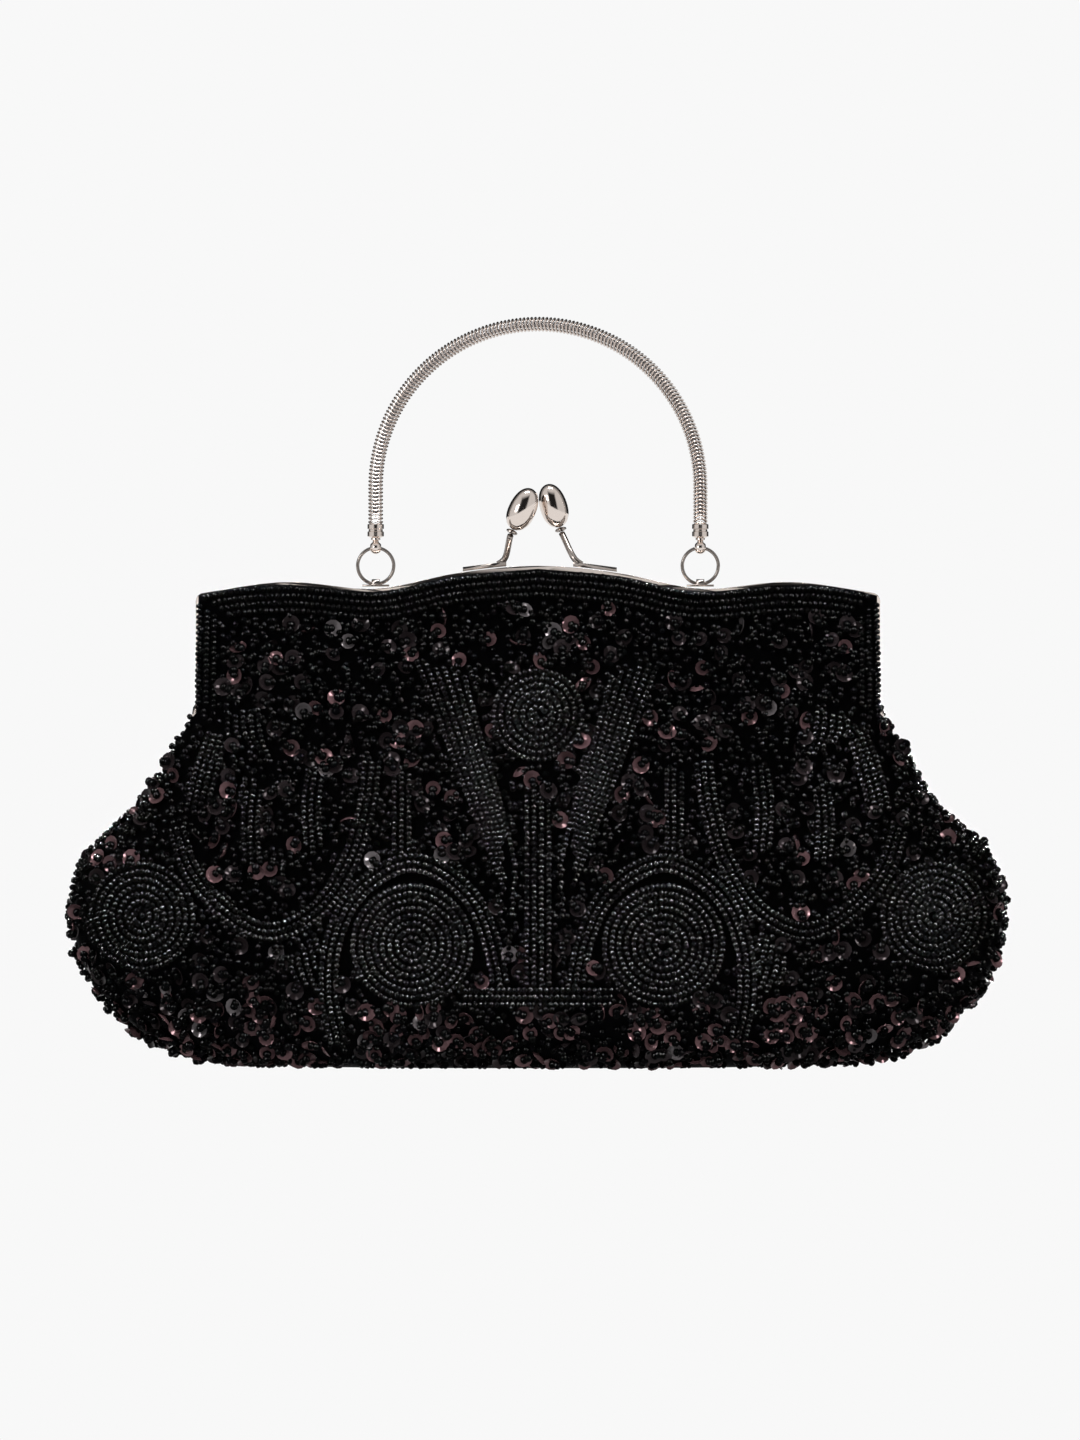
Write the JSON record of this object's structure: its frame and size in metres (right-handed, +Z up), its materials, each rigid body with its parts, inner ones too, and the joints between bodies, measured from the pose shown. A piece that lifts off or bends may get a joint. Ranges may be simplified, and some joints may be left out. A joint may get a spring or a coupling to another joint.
{
  "type": "evening bag",
  "caption": "Beaded evening bag: rounded fabric pouch on a waved metal kiss-lock frame, with an arched snake-chain handle on two rings.",
  "frame": {"origin": "middle of the flat base that the bag stands on", "axes": "+Z up, +X along the bag's width to the right as its front is looked at, front faces -Y"},
  "size_m": [0.2788, 0.058, 0.2239],
  "materials": {
    "frame_metal": "bright pale nickel",
    "clasp_metal": "bright pale nickel",
    "chain_metal": "polished snake chain",
    "spring_steel": "drawn wire",
    "beaded_satin": "satin",
    "glass_beads": "opaque gloss",
    "sequins": "gloss",
    "lining_satin": "satin",
    "grey_board": "matt"
  },
  "bodies": {
    "pouch": {"shell_base": "beaded_satin", "base_board": "grey_board", "slip_pocket": "lining_satin", "shell_front_lower": "beaded_satin", "shell_rear_lower": "beaded_satin", "lining_front_lower": "lining_satin", "lining_rear_lower": "lining_satin", "medallion_front_outer_left": "sequins", "medallion_front_inner_left": "sequins", "medallion_front_inner_right": "sequins", "medallion_front_outer_right": "sequins", "medallion_rear_outer_left": "sequins", "medallion_rear_inner_left": "sequins", "medallion_rear_inner_right": "sequins", "medallion_rear_outer_right": "sequins", "hinge_rivet_left": "frame_metal", "hinge_rivet_right": "frame_metal"},
    "frame_half_front": {"frame_front": "frame_metal", "shell_front_upper": "beaded_satin", "lining_front_upper": "lining_satin", "edge_beads_front": "glass_beads", "clasp_arm_front": "frame_metal", "clasp_collar_front": "frame_metal", "clasp_knob_front": "clasp_metal"},
    "frame_half_rear": {"frame_rear": "frame_metal", "shell_rear_upper": "beaded_satin", "lining_rear_upper": "lining_satin", "edge_beads_rear": "glass_beads", "clasp_arm_rear": "frame_metal", "clasp_collar_rear": "frame_metal", "clasp_knob_rear": "clasp_metal", "handle_lug_left": "frame_metal", "handle_lug_right": "frame_metal"},
    "handle_rings": {"handle_ring_left": "frame_metal", "handle_ring_right": "frame_metal"},
    "handle": {"handle_chain": "chain_metal", "handle_core": "spring_steel", "handle_eye_left": "frame_metal", "handle_eye_right": "frame_metal", "handle_ferrule_left": "frame_metal", "handle_ferrule_right": "frame_metal"}
  },
  "joints": [
    {"name": "frame_front_hinge", "type": "hinge", "parent": "pouch", "child": "frame_half_front", "pos_m": [0, 0, 0.105], "axis": [1, 0, 0], "range_deg": [0, 35]},
    {"name": "frame_rear_hinge", "type": "hinge", "parent": "pouch", "child": "frame_half_rear", "pos_m": [0, 0, 0.105], "axis": [1, 0, 0], "range_deg": [-35, 0]},
    {"name": "rings_pivot", "type": "hinge", "parent": "frame_half_rear", "child": "handle_rings", "pos_m": [0, 0.003, 0.14401], "axis": [1, 0, 0], "range_deg": [-50, 50]},
    {"name": "handle_pivot", "type": "hinge", "parent": "handle_rings", "child": "handle", "pos_m": [0, 0.003, 0.15481], "axis": [1, 0, 0], "range_deg": [-75, 75]}
  ],
  "couplings": [
    {"joint": "frame_front_hinge", "follows": "frame_rear_hinge", "ratio": -1}
  ]
}
